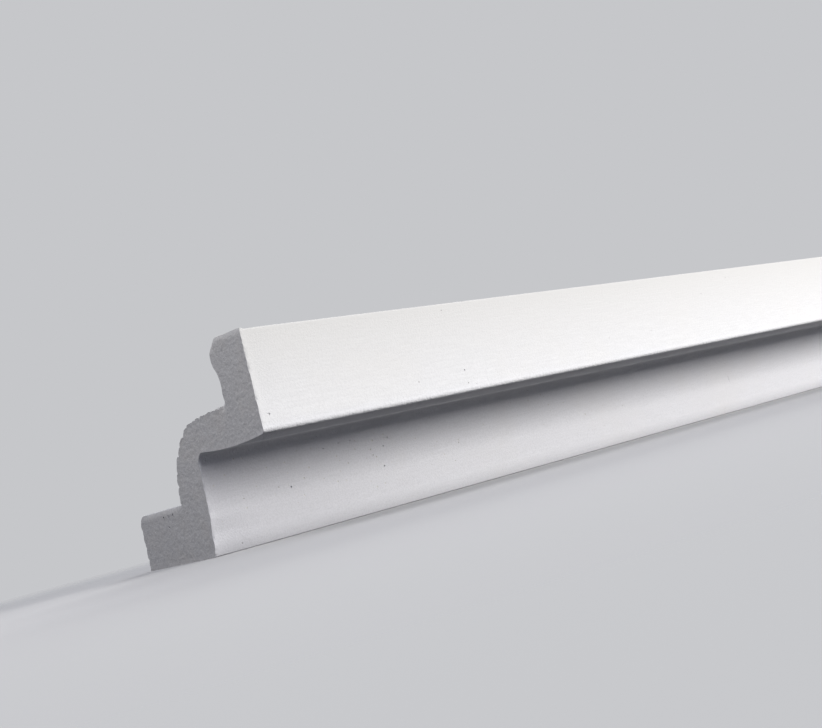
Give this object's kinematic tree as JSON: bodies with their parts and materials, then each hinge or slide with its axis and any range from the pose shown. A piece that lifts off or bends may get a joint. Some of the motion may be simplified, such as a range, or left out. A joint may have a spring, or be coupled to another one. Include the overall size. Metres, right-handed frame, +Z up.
{
  "type": "cornice moulding",
  "caption": "Straight length of plaster cornice moulding: quarter round, hollow and nose on its moulded side, square fixing beds with a stepped relief behind.",
  "frame": {"origin": "middle of the bounding box at floor level, under the wide bed", "axes": "+X along the length, +Z up from the wide bed, -Y out of the narrow bed, so the moulded side faces +Y and +Z"},
  "size_m": [2, 0.17, 0.1],
  "materials": {
    "plaster": "matt cast gypsum plaster"
  },
  "bodies": {
    "root": {"cornice": "plaster"}
  },
  "joints": []
}
